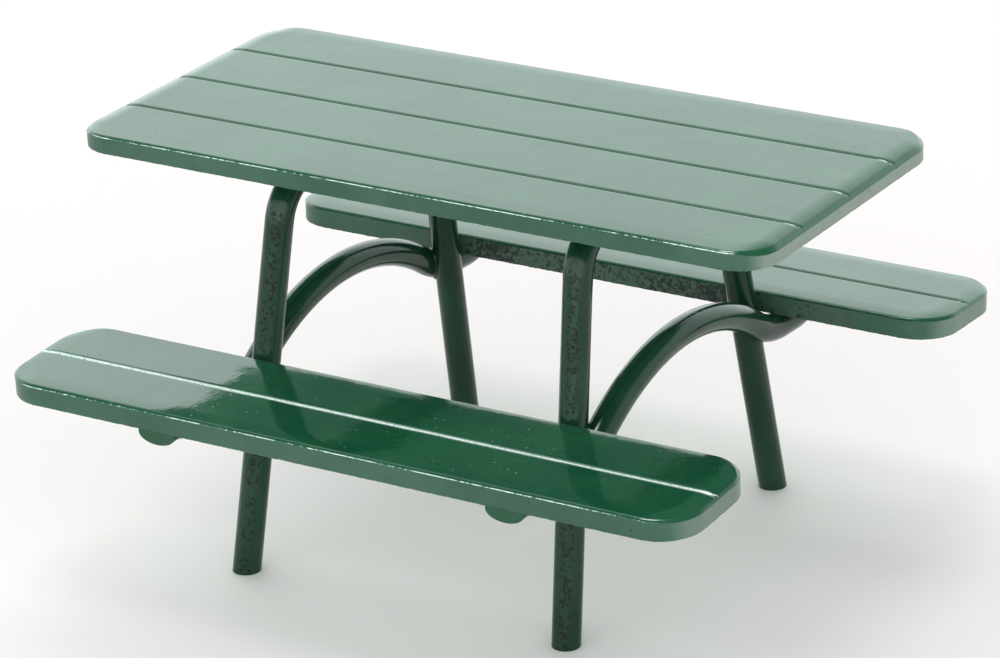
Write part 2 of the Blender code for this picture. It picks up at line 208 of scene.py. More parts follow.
def attribute(tree, name):
    """A number stored on the mesh's vertices."""
    return (add_node(tree, "ShaderNodeAttribute", {"attribute_name": name}), 2)


# ------------------------------------------------------------ materials

# Near-black painted shade inside the pits.
PIT_PAINTED_SHADE_COLOUR = (0.001, 0.006, 0.004, 1)
# Paler, greyer colour painted on the boards' ends as a sheen.
PAINTED_END_SHEEN_COLOUR = (0.23, 0.27, 0.235, 1)
# Painted shade along the rear seat's front edge under the top, and its darkest mottled patches.
PAINTED_SHADE_COLOUR = (0.050, 0.078, 0.062, 1)
PAINTED_DEEP_SHADE_COLOUR = (0.002, 0.008, 0.005, 1)
DULL_SPECK_COLOUR = (0.003, 0.016, 0.009, 1)
# Painted highlight on the front crests: a pale green tint and near-white glints.
PAINTED_CREST_LIGHT_COLOUR = (0.10, 0.33, 0.20, 1)
PAINTED_CREST_GLINT_COLOUR = (0.80, 0.95, 0.88, 1)
# Painted highlight line in the front seat's joint.
PAINTED_HIGHLIGHT_COLOUR = (0.84, 0.93, 0.89, 1)
ZINC_COLOURS = ((0.42, 0.43, 0.42, 1), (0.66, 0.67, 0.66, 1))
FLOOR_COLOURS = ((0.790, 0.692, 0.699, 1), (0.808, 0.710, 0.717, 1))

NIB_HEIGHT = 0.00035
CREST_HEIGHT = 0.00018
GRAIN_HEIGHT = 0.0003
PIT_DEPTH = 0.0016
RIPPLE_TO_PEEL = 4.0
DULL_SPECK_ROUGHNESS = 0.6


def specks(tree, place, density):
    """Dust nibs, a scatter of small raised specks, and rarer dull dark ones."""
    cells = add_node(tree, "ShaderNodeTexVoronoi", {"feature": "F1"}, Vector=place, Scale=62.0)
    pick = add_node(tree, "ShaderNodeSeparateColor", Color=(cells, 1))
    chosen = ramp(tree, (pick, 0), 1.0 - density, 1.0 - density * 0.6)
    nibs = calc(tree, "MULTIPLY", ramp(tree, (cells, 0), 0.05, 0.13, 1.0, 0.0), chosen)
    dull = calc(tree, "MULTIPLY", ramp(tree, (cells, 0), 0.07, 0.11, 1.0, 0.0),
                ramp(tree, (pick, 1), 0.94, 0.95))
    return nibs, dull


def with_painted_sheen(tree, place, base):
    """Painted sheen: a paler, greyer colour on the boards' ends, broken up by noise, where the
    mesh marks it.
    """
    sheen_breakup = noise_field(tree, place, 150.0, 3.0, 0.7)
    chalk = calc(tree, "MULTIPLY", attribute(tree, "chalk"),
                 ramp(tree, sheen_breakup, 0.25, 0.75, 0.75, 1.0))
    return mix_colour(tree, chalk, base, PAINTED_END_SHEEN_COLOUR)


def with_painted_shade(tree, place, base):
    """Painted shade, with darker mottled patches, where the mesh marks it."""
    stain = attribute(tree, "stain")
    base = mix_colour(tree, calc(tree, "MULTIPLY", stain, 0.9), base, PAINTED_SHADE_COLOUR)
    coarse = calc(tree, "MULTIPLY", noise_field(tree, place, 9.0, 1.0, 0.5), 0.5)
    blots = calc(tree, "ADD", noise_field(tree, place, 110.0, 4.0, 0.7, 0.5), coarse)
    deep_shade = ramp(tree, calc(tree, "ADD", blots, stain), 1.32, 1.44)
    return mix_colour(tree, calc(tree, "MULTIPLY", deep_shade, 0.93), base, PAINTED_DEEP_SHADE_COLOUR)


def enamel(name, deep, light, gloss, peel, nib_density, grain, pitted=False, shine=0.5):
    """Thick gloss enamel: slight orange peel, dust nibs under the film and painted highlights on
    the crests.

    deep and light are the two ends of its slow colour variation, gloss the range of its
    roughness, peel the depth of the orange peel in metres, nib_density the share of places
    with a nib, grain how coarse it is all over and shine its specular level.
    """
    material, tree, shader = new_material(name)
    place = object_place(tree)

    slow = noise_field(tree, place, 5.0, 3.0, 0.6)
    base = mix_colour(tree, ramp(tree, slow, 0.35, 0.68), deep, light)
    patchy = noise_field(tree, place, 38.0, 4.0, 0.65)
    base = mix_colour(tree, ramp(tree, patchy, 0.55, 0.9, 0.0, 0.5), base, light)

    # Pits down the fronts of the legs, where the mesh marks them, darkened with painted shade.
    if pitted:
        holes = noise_field(tree, place, 120.0, 3.0, 0.62, 0.4)
        pits = calc(tree, "MULTIPLY", ramp(tree, holes, 0.53, 0.58), attribute(tree, "pits"))
        base = mix_colour(tree, calc(tree, "MULTIPLY", pits, 0.9), base, PIT_PAINTED_SHADE_COLOUR)

    base = with_painted_sheen(tree, place, base)
    base = with_painted_shade(tree, place, base)
    nibs, dull = specks(tree, place, nib_density)
    base = mix_colour(tree, dull, base, DULL_SPECK_COLOUR)
    colour = mix_colour(tree, calc(tree, "MULTIPLY", nibs, 0.35), base, light)

    # Painted highlight on the front crests: a pale green tint, and near-white glints in runs.
    crest = attribute(tree, "crest")
    glint_breakup = noise_field(tree, place, 190.0, 3.0, 0.7)
    wanted = ramp(tree, noise_field(tree, place, 9.0, 2.0, 0.6), 0.38, 0.62, 0.10, -0.10)
    raised_glints = ramp(tree, calc(tree, "SUBTRACT", glint_breakup, wanted), 0.42, 0.56)
    raised_glints = calc(tree, "MULTIPLY", crest, raised_glints, clamp=True)
    colour = mix_colour(tree, calc(tree, "MULTIPLY", crest, 0.25), colour, PAINTED_CREST_LIGHT_COLOUR)
    colour = mix_colour(tree, calc(tree, "MULTIPLY", raised_glints, 0.9), colour, PAINTED_CREST_GLINT_COLOUR)

    # A painted highlight: a near-white line along one side of a joint.
    painted_highlight = calc(tree, "MULTIPLY", attribute(tree, "rim"),
                ramp(tree, glint_breakup, 0.30, 0.55, 0.55, 1.0))
    colour = mix_colour(tree, painted_highlight, colour, PAINTED_HIGHLIGHT_COLOUR)
    feed(tree, colour, shader.inputs["Base Color"])

    smear = noise_field(tree, place, 14.0, 5.0, 0.62, 0.6)
    rough = ramp(tree, smear, 0.35, 0.75, *gloss)
    rough = calc(tree, "ADD", rough, calc(tree, "MULTIPLY", dull, DULL_SPECK_ROUGHNESS),
                 clamp=True)
    feed(tree, rough, shader.inputs["Roughness"])

    # Relief: long ripples, orange peel, nibs, broken crests, grain and pits.
    ripples = noise_field(tree, place, 16.0, 1.0, 0.4)
    relief = calc(tree, "MULTIPLY", ripples, RIPPLE_TO_PEEL * peel)
    sand = noise_field(tree, place, 420.0, 2.0, 0.6)
    layers = [(noise_field(tree, place, 85.0, 2.0, 0.5), peel), (nibs, NIB_HEIGHT),
              (raised_glints, CREST_HEIGHT), (sand, GRAIN_HEIGHT * grain)]
    if pitted:
        layers.append((pits, -PIT_DEPTH))
    for layer, height in layers:
        relief = calc(tree, "ADD", relief, calc(tree, "MULTIPLY", layer, height))
    bump = add_node(tree, "ShaderNodeBump", Height=relief, Strength=1.0, Distance=1.0)
    feed(tree, (bump, 0), shader.inputs["Normal"])
    shader.inputs["IOR"].default_value = 1.45
    shader.inputs["Specular IOR Level"].default_value = shine
    return material


def zinc():
    """Dull zinc plate on the hidden screws."""
    material, tree, shader = new_material("zinc_plate")
    place = object_place(tree)
    cloud = noise_field(tree, place, 240.0, 4.0, 0.6)
    colour = mix_colour(tree, cloud, *ZINC_COLOURS)
    feed(tree, colour, shader.inputs["Base Color"])
    feed(tree, ramp(tree, cloud, 0.3, 0.7, 0.28, 0.48), shader.inputs["Roughness"])
    shader.inputs["Metallic"].default_value = 1.0
    return material


def floor_paper():
    """The pale studio floor."""
    material, tree, shader = new_material("studio_floor")
    place = object_place(tree)
    cloud = noise_field(tree, place, 0.8, 2.0, 0.5)
    colour = mix_colour(tree, cloud, *FLOOR_COLOURS)
    feed(tree, colour, shader.inputs["Base Color"])
    shader.inputs["Roughness"].default_value = 0.9
    shader.inputs["Specular IOR Level"].default_value = 0.0
    return material


BOARD_PAINT = enamel("green_enamel_boards", deep=(0.007, 0.060, 0.028, 1),
                     light=(0.012, 0.077, 0.037, 1), gloss=(0.055, 0.13), peel=0.00009,
                     nib_density=0.42, grain=0.0)
FRAME_PAINT = enamel("green_enamel_frame", deep=(0.004, 0.024, 0.012, 1),
                     light=(0.008, 0.040, 0.020, 1), gloss=(0.08, 0.18), peel=0.00009,
                     nib_density=0.35, grain=0.25, pitted=True, shine=0.36)
# The upright sides: a rougher, dry finish, whose paler, greyer colour is a painted sheen.
EDGE_PAINT = enamel("green_enamel_dry_edges_painted_sheen", deep=(0.028, 0.080, 0.049, 1),
                    light=(0.045, 0.107, 0.071, 1), gloss=(0.33, 0.46), peel=0.00006,
                    nib_density=0.30, grain=0.8, shine=0.38)
# The undersides: a much paler green, painted light standing in for light bounced up from the
# floor.
UNDERSIDE_PAINTED_LIGHT = enamel("green_enamel_underside_painted_light", deep=(0.16, 0.44, 0.30, 1),
                     light=(0.22, 0.54, 0.38, 1), gloss=(0.36, 0.5), peel=0.00006,
                     nib_density=0.2, grain=0.8)
ZINC = zinc()


# ------------------------------------------------------------ mesh helpers

SHARP_ANGLE = radians(40)
MERGE_DISTANCE = 1e-7


def mesh_object(name, bm, *materials):
    """Turn a bmesh into a smooth-shaded object with weighted normals."""
    bmesh.ops.recalc_face_normals(bm, faces=bm.faces)
    mesh = bpy.data.meshes.new(name)
    bm.to_mesh(mesh)
    bm.free()
    mesh.shade_smooth()
    mesh.set_sharp_from_angle(angle=SHARP_ANGLE)
    for material in materials:
        mesh.materials.append(material)
    obj = bpy.data.objects.new(name, mesh)
    bpy.context.scene.collection.objects.link(obj)
    weighted = obj.modifiers.new("weighted_normals", "WEIGHTED_NORMAL")
    weighted.keep_sharp = True
    return obj


def stand_in(obj, slot, *nodes):
    """Let a piece show instead of the design's nodes."""
    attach(obj, "root")
    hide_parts(*nodes)
    return obj


def add_rings(bm, rings):
    """Closed rings of points, each joined to the next."""
    loops = [[bm.verts.new(point) for point in ring] for ring in rings]
    for lower, upper in zip(loops, loops[1:]):
        count = len(lower)
        for index in range(count):
            after = (index + 1) % count
            bm.faces.new((lower[index], lower[after], upper[after], upper[index]))
    return loops


def ease(value, start, end):
    """Rise smoothly from 0 to 1 as value goes from start to end."""
    share = min(1.0, max(0.0, (value - start) / (end - start)))
    return share * share * (3 - 2 * share)


def evenly(start, end, steps):
    """Values from start to end, both included."""
    return [start + (end - start) * step / steps for step in range(steps + 1)]


# ------------------------------------------------------------ boards

# A face belongs to the underside if it is this level and this deep, as shares of one and of
# the thickness, and to the upright sides if this share of its corners is marked so.
LEVEL_ENOUGH = 0.8
DEEP_ENOUGH = 0.8
MARKED_ENOUGH = 0.7

CORNERS = ((1, 1), (-1, 1), (-1, -1), (1, -1))
RUNS = (Vector((-1, 0)), Vector((0, -1)), Vector((1, 0)), Vector((0, 1)))


def outline(half_x, half_y, radius, like):
    """A rounded rectangle in fine steps. like holds the sizes that set how many there are."""
    points = []
    full_x, full_y, full_radius = like
    for quarter, (sign_x, sign_y) in enumerate(CORNERS):
        centre = Vector((sign_x * (half_x - radius), sign_y * (half_y - radius)))
        for step in range(CORNER_STEPS + 1):
            turn = pi / 2 * (quarter + step / CORNER_STEPS)
            points.append(centre + Vector((cos(turn), sin(turn))) * radius)
        along_x = quarter % 2 == 0
        full_run = 2 * ((full_x if along_x else full_y) - full_radius)
        run = 2 * ((half_x if along_x else half_y) - radius)
        count = round(full_run / RUN_STEP)
        start = points[-1]
        end = start + RUNS[quarter] * run
        points += [start.lerp(end, step / count) for step in range(1, count)]
    return points


def inset_at(x, y, half_x, half_y, radius):
    """How far a point lies inside the rounded rectangle's edge."""
    over_x = abs(x) - (half_x - radius)
    over_y = abs(y) - (half_y - radius)
    outside = sqrt(max(over_x, 0) ** 2 + max(over_y, 0) ** 2)
    return radius - outside - min(max(over_x, over_y), 0)


def border_profile(thickness, drop, slope, soft_share):
    """Section of a board set's border, from the underside to the flat of the upper face.

    Each entry is (inset, z, crest, side, unevenness). The face falls softly, rounds over
    and ends at a fine raised bead above the upright side.
    """
    soft_drop = soft_share * drop
    round_drop = drop - soft_drop
    round_width = ROUND_POWER * round_drop / slope
    profile = [(3 * LOWER_CHAMFER, -thickness, 0, 0, 0), (LOWER_CHAMFER, -thickness, 0, 0.5, 1.6)]
    profile += [(LOWER_CHAMFER * (1 - sin(turn)), -thickness + LOWER_CHAMFER * (1 - cos(turn)),
                 0, 1, 2.6) for turn in evenly(pi / 8, pi / 2, 3)]
    side_top = -drop - 2.2 * BEAD
    profile += [(0, z, 0, 1, 0.35) for z in evenly(-thickness + 2 * LOWER_CHAMFER, side_top, 5)]
    profile += [(-BEAD * 0.7, side_top + 0.7 * BEAD, 0.5, 0.6, 1),
                (-BEAD, side_top + 1.3 * BEAD, 1, 0.2, 1.6),
                (-BEAD * 0.4, -drop, 1, 0, 1.6)]
    insets = [round_width * t for t in evenly(0.06, 1.0, 9)]
    insets += [round_width + (SOFT_WIDTH - round_width) * t for t in evenly(0.1, 1.0, 9)]
    for inset in insets:
        z = -soft_drop * (1 - inset / SOFT_WIDTH) ** 2
        if inset < round_width:
            z -= round_drop * (1 - inset / round_width) ** ROUND_POWER
        profile.append((inset, z, 0.5 * ease(inset, 0.15 * round_width, 0), 0, 0))
    return profile


def uneven(x, y, seed):
    """A rough wobble in -1..1, coarse and fine, for edges that paint has run over."""
    place = Vector((x, y, seed))
    return 0.55 * noise.noise(place * 210) + 0.45 * noise.noise(place * 90)


def panel(length, width, thickness, corner, drops, seed, crested, shade_painted):
    """The whole slab that a set of boards is cut from, upper face at z = 0.

    drops holds how far its border falls along the long sides and at the ends. The last two
    arguments say how strongly the front edge is marked for a painted highlight on its crest and
    for painted shade.
    """
    bm = bmesh.new()
    crests = bm.verts.layers.float.new("crest")
    sides = bm.verts.layers.float.new("side")
    shade_layer = bm.verts.layers.float.new("stain")
    sizes = (length / 2, width / 2, corner)
    outer = outline(*sizes, sizes)
    inner = outline(length / 2 - BEAD, width / 2 - BEAD, corner - BEAD, sizes)
    outwards = [(edge - inside) / BEAD for edge, inside in zip(outer, inner)]
    profiles = [border_profile(thickness, *values)
                for values in zip(drops, ROUND_SLOPES, SOFT_SHARES)]
    rings, marks = [], []
    for along, at_end in zip(*profiles):
        crest, side, roughness = along[2:]
        ring = []
        for edge, out in zip(outer, outwards):
            share = ease(abs(out.x), *END_FACING)
            inset = along[0] + (at_end[0] - along[0]) * share
            z = along[1] + (at_end[1] - along[1]) * share
            x, y = edge - out * inset
            shift = BEAD * roughness * uneven(x, y, seed + z * WOBBLE_STEP)
            ring.append((x, y, z + shift))
            front = ease(-out.y, *FRONT_FACING)
            # Painted shade along the rear seat's front edge, under the top's edge.
            under_top_shade = shade_painted * front * ease(x, *SHADE_START)
            shade_mottle = SHADE_MOTTLE * side * ease(length / 2 - x, *SHADE_END)
            marks.append((crested * crest * front, side, under_top_shade * max(crest, shade_mottle)))
        rings.append(ring)
    loops = add_rings(bm, rings)
    for vert, (crest, side, stain) in zip([vert for loop in loops for vert in loop], marks):
        vert[crests] = crest
        vert[sides] = side
        vert[shade_layer] = stain
    bm.faces.new(loops[0])
    bm.faces.new(loops[-1])
    return bm


def cut_side(bm, y, direction, sizes, thickness, lip):
    """Cut the slab off at y, keeping the side that direction points to, and ease the cut.

    The groove fades out just before it reaches the slab's edge. Where the lip is BRIGHT_LIP,
    a painted highlight line is marked on its far side, which narrows to the right as a second,
    fainter painted highlight line appears on its near side.
    """
    width, depth = lip
    normal = Vector((0, direction, 0))
    for distance in evenly(width, 0, LIP_CUTS):
        place = Vector((0, y + direction * distance, 0))
        geometry = bm.verts[:] + bm.edges[:] + bm.faces[:]
        bmesh.ops.bisect_plane(bm, geom=geometry, dist=MERGE_DISTANCE, plane_co=place,
                               plane_no=normal, clear_inner=distance < MERGE_DISTANCE,
                               clear_outer=False)
    highlight_layer = bm.verts.layers.float["rim"]
    for vert in bm.verts:
        distance = max(0.0, (vert.co.y - y) * direction)
        if distance < width:
            share = 1 - distance / width
            fall = depth * share ** 2
            if vert.co.z > -thickness / 2:
                inset = inset_at(vert.co.x, vert.co.y, *sizes)
                vert.co.z -= fall * ease(inset, *GROOVE_FADE)
                # Mark where the painted highlight lines go.
                if lip is BRIGHT_LIP:
                    ends = ease(inset, *BRIGHT_FADE)
                    later = ease(vert.co.x, *BRIGHT_CHANGE)
                    if direction > 0:
                        painted_highlight = [left + (right - left) * later
                                for left, right in zip(*BRIGHT_LINE)]
                        vert[highlight_layer] = ends * ease(share, *painted_highlight)
                    elif FAINT_LINE[0] < share < FAINT_LINE[1]:
                        vert[highlight_layer] = FAINT_LINE_STRENGTH * ends * later
            else:
                vert.co.z += LOWER_LIP_SHARE * fall
    rim = [edge for edge in bm.edges if edge.is_boundary]
    bmesh.ops.contextual_create(bm, geom=rim)


def board(name, size, seed, low, high, lip, crested, shade_painted, end_sheen_strength, matrix, node):
    """One board: the slab cut at low and high, where either may be None.

    Its upper face takes the first material, its upright sides the second and its underside
    the third.
    """
    length, width, thickness, corner, _ = size
    sizes = (length / 2, width / 2, corner)
    bm = panel(*size, seed, crested, shade_painted)
    bm.verts.layers.float.new("rim")
    if low is not None:
        cut_side(bm, low, 1, sizes, thickness, lip)
    if high is not None:
        cut_side(bm, high, -1, sizes, thickness, lip)
    sides = bm.verts.layers.float["side"]
    chalk = bm.verts.layers.float.new("chalk")
    # A paler colour painted towards the ends of the upright sides, as a sheen.
    for vert in bm.verts:
        reach = (abs(vert.co.x) - length / 2 + corner) / corner
        vert[chalk] = end_sheen_strength * vert[sides] * ease(reach, *END_SHEEN_REACH)
    bm.normal_update()
    for face in bm.faces:
        middle = face.calc_center_median()
        if abs(face.normal.z) > LEVEL_ENOUGH and middle.z < -DEEP_ENOUGH * thickness:
            face.material_index = 2
        elif sum(vert[sides] for vert in face.verts) > MARKED_ENOUGH * len(face.verts):
            face.material_index = 1
    bm.transform(matrix)
    return stand_in(mesh_object(name, bm, BOARD_PAINT, EDGE_PAINT, UNDERSIDE_PAINTED_LIGHT), "boards", node)


def make_top():
    size = (TOP_LENGTH, TOP_WIDTH, TOP_THICKNESS, TOP_CORNER, TOP_DROPS)
    matrix = Matrix.Translation((0, 0, TOP_HEIGHT))
    lows = [None] + [after for _, after in TOP_JOINTS]
    highs = [before for before, _ in TOP_JOINTS] + [None]
    for number, (low, high) in enumerate(zip(lows, highs), 1):
        board(f"enamelled_top_board_{number}", size, TOP_SEED, low, high, FINE_LIP, 1.0, 0.0,
              TOP_END_SHEEN, matrix, f"top_board_{number}")


def seat_matrix(sign):
    place = Matrix.Translation((0, sign * SEAT_OFFSET, SEAT_HEIGHT))
    return place @ Matrix.Rotation(-sign * SEAT_FALL, 4, "X")


def make_seat(seat, sign):
    size = (SEAT_LENGTH, SEAT_WIDTH, SEAT_THICKNESS, SEAT_CORNER, SEAT_DROPS)
    matrix = seat_matrix(sign)
    for place, outward in (("inner", -1), ("outer", 1)):
        positive = sign * outward > 0
        low = GAP / 2 if positive else None
        high = None if positive else -GAP / 2
        lip, crested, shade_painted = (BRIGHT_LIP, 1.0, 0.0) if seat == "front" else (FINE_LIP, 0.0, 1.0)
        board(f"enamelled_{seat}_seat_{place}_board", size, SEAT_SEED + sign, low, high, lip,
              crested, shade_painted, SEAT_END_SHEEN, matrix, f"{seat}_seat_{place}_board")


# ------------------------------------------------------------ tubes

TUBE_SIDES = 48
LEG_STEPS = 36
LEG_BEND_STEPS = 20
PLUG_DEPTH = 0.025

# A foot plug's eased edge, as distances inside the tube's radius and the height of each, and
# the share of that radius where its lower face begins.
PLUG_EDGE = ((0.0008, 0), (0.0002, 0.0004), (0, 0.0009))
PLUG_MIDDLE = 0.6

# The painted pits face this way, over this range of how squarely the surface faces it. They
# are on the tube's outside, beyond this share of its radius.
PIT_DIRECTION = Vector((0.34, -0.94, 0))
PIT_FACING = (0.80, 0.97)
OUTSIDE_SHARE = 0.95


def section(centre, side, up, radius, count=TUBE_SIDES):
    """A round ring of points."""
    turns = [2 * pi * step / count for step in range(count)]
    return [centre + side * (radius * cos(turn)) + up * (radius * sin(turn)) for turn in turns]


def slide_to_height(ring, axis, height):
    """Move each point along axis until it is at the height."""
    return [point + axis * ((height - point.z) / axis.z) for point in ring]


def leg_plane(sign):
    """Middle of a leg frame's feet, its upward direction and its normal."""
    origin = Vector((sign * FOOT_X, 0, 0))
    up = Vector((-sign * sin(LEG_SPLAY), 0, cos(LEG_SPLAY)))
    normal = Vector((cos(LEG_SPLAY), 0, sign * sin(LEG_SPLAY)))
    return origin, up, normal


def leg_stations():
    """Centreline of a leg frame as (y, s, angle), as in the design but finer."""
    rise = RUN_HEIGHT / cos(LEG_SPLAY)
    corner_y = FOOT_Y - rise * tan(LEG_RAKE)
    turn = pi / 2 - LEG_RAKE
    setback = LEG_BEND_RADIUS * tan(turn / 2)
    centre_y = corner_y - setback
    centre_s = rise - LEG_BEND_RADIUS
    bend_y = centre_y + LEG_BEND_RADIUS * cos(LEG_RAKE)
    bend_s = centre_s + LEG_BEND_RADIUS * sin(LEG_RAKE)
    half = []
    for share in evenly(0, 1, LEG_STEPS)[:-1]:
        half.append((FOOT_Y + (bend_y - FOOT_Y) * share, bend_s * share, LEG_RAKE))
    for angle in evenly(LEG_RAKE, pi / 2, LEG_BEND_STEPS):
        half.append((centre_y + LEG_BEND_RADIUS * cos(angle),
                     centre_s + LEG_BEND_RADIUS * sin(angle), angle))
    return half + [(-y, s, pi - angle) for y, s, angle in reversed(half)]


def leg_axis(sign, seat_sign):
    """Foot and upward direction of one leg."""
    origin, up, _ = leg_plane(sign)
    foot = origin + Vector((0, seat_sign * FOOT_Y, 0))
    axis = up * cos(LEG_RAKE) + Vector((0, -seat_sign * sin(LEG_RAKE), 0))
    return foot, axis.normalized()


def leg_rings(sign, radius):
    origin, up, normal = leg_plane(sign)
    rings = []
    for y, s, angle in leg_stations():
        centre = origin + Vector((0, y, 0)) + up * s
        travel = Vector((0, -sin(angle), 0)) + up * cos(angle)
        rings.append(section(centre, normal, travel.cross(normal), radius))
    for index, seat_sign in ((0, 1), (-1, -1)):
        axis = leg_axis(sign, seat_sign)[1]
        rings[index] = slide_to_height(rings[index], axis, PLUG_FLANGE + GAP)
    return rings


def hollow_tube(outer, inner):
    """An open-ended tube, from the rings of its outside and of its bore."""
    bm = bmesh.new()
    rings = outer + list(reversed(inner))
    add_rings(bm, rings + [rings[0]])
    bmesh.ops.remove_doubles(bm, verts=bm.verts, dist=MERGE_DISTANCE)
    return bm


def mark_pits(bm, sign):
    """Mark the strip down a leg frame's front leg where its paint has pitted."""
    layer = bm.verts.layers.float.new("pits")
    foot, axis = leg_axis(sign, -1)
    for vert in bm.verts:
        away = vert.co - foot
        away -= axis * away.dot(axis)
        if vert.co.y <= 0 and away.length > OUTSIDE_SHARE * TUBE_RADIUS:
            vert[layer] = ease(away.normalized().dot(PIT_DIRECTION), *PIT_FACING)


def make_leg_frame(side, sign):
    bm = hollow_tube(leg_rings(sign, TUBE_RADIUS), leg_rings(sign, TUBE_RADIUS - TUBE_WALL))
    mark_pits(bm, sign)
    stand_in(mesh_object(f"enamelled_{side}_leg_frame", bm, FRAME_PAINT), "frame",
             f"{side}_leg_frame")
    for seat, seat_sign in SEATS:
        make_foot_plug(f"{side}_{seat}_foot_plug", sign, seat_sign)


def make_foot_plug(node, sign, seat_sign):
    """A round plug with an eased edge at the floor."""
    foot, axis = leg_axis(sign, seat_sign)
    normal = leg_plane(sign)[2]
    bore = TUBE_RADIUS - TUBE_WALL - GAP
    levels = [(PLUG_MIDDLE * TUBE_RADIUS, 0)]
    levels += [(TUBE_RADIUS - inset, height) for inset, height in PLUG_EDGE]
    levels += [(TUBE_RADIUS, PLUG_FLANGE), (bore, PLUG_FLANGE), (bore, PLUG_DEPTH)]
    rings = []
    for radius, height in levels:
        ring = section(foot, normal, axis.cross(normal), radius)
        rings.append(slide_to_height(ring, axis, height))
    bm = bmesh.new()
    loops = add_rings(bm, rings)
    bm.faces.new(loops[0])
    bm.faces.new(loops[-1])
    stand_in(mesh_object(f"painted_{node}", bm, FRAME_PAINT), "plugs", node)


# ------------------------------------------------------------ seat bearers

ARCH_STEPS = 26
FOOT_STEPS = 14
PRESS_STEPS = 14
LIFT_STEPS = 8
SHOULDER_FULLNESS = 12
CAP_DEPTH = 0.015

# An end cap's eased rim, as depths and how far inside the tube's section it is at each, and
# the share of that by which its upper side is lower.
CAP_RIM = ((0, 0.0022), (0.0002, 0.0011), (0.0007, 0.0003), (0.0012, 0))
UPPER_SHARE = 0.2


def pressed_ring(centre, side, up, half_width, half_up, half_down):
    """A tube section pressed towards a D, as in the design but with fuller shoulders."""
    power = 2 + SHOULDER_FULLNESS * (1 - half_up / half_down)
    points = []
    for step in range(TUBE_SIDES):
        turn = 2 * pi * step / TUBE_SIDES
        if sin(turn) > 0:
            rise = half_up * (1 - abs(cos(turn)) ** power) ** (1 / power)
        else:
            rise = half_down * sin(turn)
        points.append(centre + side * (half_width * cos(turn)) + up * rise)
    return points


def arch_half():
    """Half of a bearer from its peak outwards, as (y, z, slope, section).

    A section is (half_width, half_up, half_down).
    """
    down = SEAT_THICKNESS + PLATE_THICKNESS + 2 * GAP + TUBE_RADIUS
    along = Vector((cos(SEAT_FALL), -sin(SEAT_FALL)))
    upward = Vector((sin(SEAT_FALL), cos(SEAT_FALL)))
    start = Vector((SEAT_OFFSET, SEAT_HEIGHT)) - upward * down
    centre = Vector((0, ARCH_PEAK - ARCH_RADIUS))
    reach = ARCH_RADIUS + ARCH_FOOT_RADIUS
    rise = ARCH_FOOT_RADIUS - (centre - start).dot(upward)
    foot_centre = centre + upward * rise + along * sqrt(reach ** 2 - rise ** 2)
    slope = (foot_centre - centre).angle(Vector((0, 1)))
    round_section = Vector((TUBE_RADIUS, TUBE_RADIUS, TUBE_RADIUS))
    pressed_section = Vector((PRESSED_HALF_WIDTH, PRESSED_HALF_UP, PRESSED_HALF_DOWN))
    stations = []
    for turn in evenly(0, slope, ARCH_STEPS):
        point = centre + Vector((sin(turn), cos(turn))) * ARCH_RADIUS
        stations.append((point.x, point.y, turn, round_section))
    for turn in evenly(slope, SEAT_FALL, FOOT_STEPS)[1:]:
        point = foot_centre - Vector((sin(turn), cos(turn))) * ARCH_FOOT_RADIUS
        stations.append((point.x, point.y, turn, round_section))
    places = evenly(PRESS_START, PRESS_END, PRESS_STEPS) + evenly(LIFT_START, LIFT_END, LIFT_STEPS)
    for place in places + [SEAT_WIDTH / 2 - PLUG_FLANGE - GAP]:
        shape = round_section.lerp(pressed_section, ease(place, PRESS_START, PRESS_END))
        lift = (PLATE_THICKNESS + GAP) * ease(place, LIFT_START, LIFT_END)
        point = start + along * place + upward * (TUBE_RADIUS - shape[1] + lift)
        stations.append((point.x, point.y, SEAT_FALL, shape))
    return stations


def whole_arch():
    half = arch_half()
    return [(-y, z, -turn, shape) for y, z, turn, shape in reversed(half[1:])] + half


ARCH = whole_arch()


def arch_rings(sign, inset):
    rings = []
    for y, z, turn, shape in ARCH:
        upward = Vector((0, sin(turn), cos(turn)))
        centre = Vector((sign * ARCH_X, y, z))
        sizes = [size - inset for size in shape]
        rings.append(pressed_ring(centre, Vector((1, 0, 0)), upward, *sizes))
    return rings


def make_bearer(side, sign):
    bm = hollow_tube(arch_rings(sign, 0), arch_rings(sign, TUBE_WALL))
    stand_in(mesh_object(f"enamelled_{side}_seat_bearer", bm, FRAME_PAINT), "frame",
             f"{side}_seat_bearer")
    for seat, seat_sign in SEATS:
        make_end_cap(f"{side}_{seat}_bearer_cap", sign, seat_sign)
        make_weld(side, seat, sign, seat_sign)


def make_end_cap(node, sign, seat_sign):
    """The D-shaped plug in a bearer's pressed end, with an eased rim."""
    matrix = seat_matrix(seat_sign)
    drop = SEAT_THICKNESS + GAP + PRESSED_HALF_UP
    inset = TUBE_WALL + GAP
    rings = []
    for depth, shrink in (*CAP_RIM, (PLUG_FLANGE, 0), (PLUG_FLANGE, inset),
                          (PLUG_FLANGE + CAP_DEPTH, inset)):
        centre = Vector((sign * ARCH_X, seat_sign * (SEAT_WIDTH / 2 - depth), -drop))
        fill = CAP_FILL if shrink < inset else 0
        half_up = PRESSED_HALF_UP + fill - UPPER_SHARE * shrink
        rings.append(pressed_ring(centre, Vector((1, 0, 0)), Vector((0, 0, 1)),
                                  PRESSED_HALF_WIDTH - shrink, half_up,
                                  PRESSED_HALF_DOWN - shrink))
    bm = bmesh.new()
    loops = add_rings(bm, rings)
    bm.faces.new(loops[0])
    bm.faces.new(loops[-1])
    bm.transform(matrix)
    stand_in(mesh_object(f"painted_{node}", bm, BOARD_PAINT), "plugs", node)


# ------------------------------------------------------------ welds

WELD_RADIUS = 0.0042
WELD_STEPS = 96
WELD_SIDES = 12
WELD_RIPPLES = 17
WELD_RIPPLE_SHARE = 0.10
WELD_UNEVENNESS = 0.25

